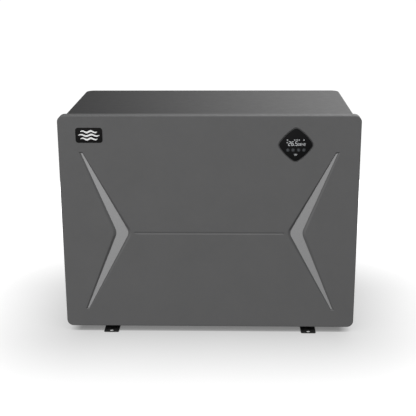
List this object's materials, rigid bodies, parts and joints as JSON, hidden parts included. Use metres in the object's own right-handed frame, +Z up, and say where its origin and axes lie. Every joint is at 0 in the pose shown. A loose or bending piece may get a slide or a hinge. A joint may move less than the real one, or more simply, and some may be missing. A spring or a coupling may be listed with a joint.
{
  "type": "pool heat pump",
  "caption": "Pool heat pump cabinet with a closed front panel with silver chevrons and a diamond display, side air grilles, fan, coil, compressor and water unions.",
  "frame": {"origin": "centre of the four anchor holes in the foot rails, on the floor", "axes": "+Z up; +X to the right seen from the front; the front panel faces -Y"},
  "size_m": [0.9152, 0.488, 0.667],
  "materials": {
    "casing_paint": "matte",
    "cover_paint": "satin",
    "silver_trim": "brushed",
    "badge": "gloss",
    "black_glass": "gloss",
    "black_plastic": "satin",
    "black_steel": "matte",
    "zinc_steel": "satin",
    "fin_aluminium": "satin",
    "copper": "satin",
    "rubber": "matte",
    "circuit_board": "satin",
    "fan_plastic": "satin",
    "motor_case": "satin",
    "compressor_paint": "gloss",
    "grey_pvc": "satin",
    "titanium": "satin",
    "brass": "satin",
    "clear_lens": "gloss",
    "dial_white": "satin"
  },
  "bodies": {
    "cabinet": {"front_panel": "casing_paint", "chevron_trim_left": "silver_trim", "chevron_trim_right": "silver_trim", "badge_plate": "badge", "display_bezel": "black_plastic", "display_glass": "black_glass", "display_housing": "black_plastic", "display_board": "circuit_board", "front_frame": "cover_paint", "top_cover": "cover_paint", "base_tray": "cover_paint", "foot_rail_left": "black_steel", "foot_rail_right": "black_steel", "rail_screws": "zinc_steel", "drain_spout": "black_plastic", "rear_guard": "black_plastic", "left_guard": "black_plastic", "right_side_panel": "cover_paint", "rear_panel": "cover_paint", "corner_post_left": "casing_paint", "corner_post_right": "casing_paint", "outlet_grille_left": "black_plastic", "outlet_grille_right": "black_plastic", "fan_baffle": "zinc_steel", "orifice_ring": "fan_plastic", "partition": "zinc_steel", "fan_motor": "motor_case", "motor_bracket": "zinc_steel", "motor_screws": "zinc_steel", "coil_fins": "fin_aluminium", "coil_end_plates": "zinc_steel", "coil_bends": "copper", "coil_headers": "copper", "compressor": "compressor_paint", "compressor_grommets": "rubber", "compressor_bolts": "zinc_steel", "accumulator": "compressor_paint", "terminal_cover": "black_plastic", "four_way_valve": "brass", "expansion_valve": "brass", "copper_pipes": "copper", "exchanger_shell": "grey_pvc", "titanium_coil": "titanium", "union_gaskets": "rubber", "union_tails": "grey_pvc", "flow_switch": "black_plastic", "gauge_case": "dial_white", "gauge_lens": "clear_lens", "cable_glands": "black_plastic", "terminal_hatch": "casing_paint", "control_box": "zinc_steel", "control_board": "circuit_board", "cabinet_screws": "zinc_steel"},
    "fan": {"fan_rotor": "fan_plastic", "fan_shaft": "zinc_steel", "fan_nut": "zinc_steel"},
    "needle": {"gauge_needle": "black_steel"},
    "paddle": {"flow_paddle": "titanium"},
    "inlet_nut": {"inlet_union_nut": "grey_pvc"},
    "outlet_nut": {"outlet_union_nut": "grey_pvc"}
  },
  "joints": [
    {"name": "fan_spin", "type": "hinge", "parent": "cabinet", "child": "fan", "pos_m": [-0.113, -0.082, 0.348], "axis": [0, -1, 0], "continuous": true},
    {"name": "gauge_sweep", "type": "hinge", "parent": "cabinet", "child": "needle", "pos_m": [0.4062, -0.03, 0.39], "axis": [-1, 0, 0], "range_deg": [-90, 180]},
    {"name": "paddle_swing", "type": "hinge", "parent": "cabinet", "child": "paddle", "pos_m": [0.385, 0.13, 0.148], "axis": [0, 1, 0], "range_deg": [0, 35]},
    {"name": "inlet_nut_turn", "type": "hinge", "parent": "cabinet", "child": "inlet_nut", "pos_m": [0.432, 0.13, 0.135], "axis": [1, 0, 0], "continuous": true},
    {"name": "outlet_nut_turn", "type": "hinge", "parent": "cabinet", "child": "outlet_nut", "pos_m": [0.432, 0.13, 0.365], "axis": [1, 0, 0], "continuous": true}
  ]
}
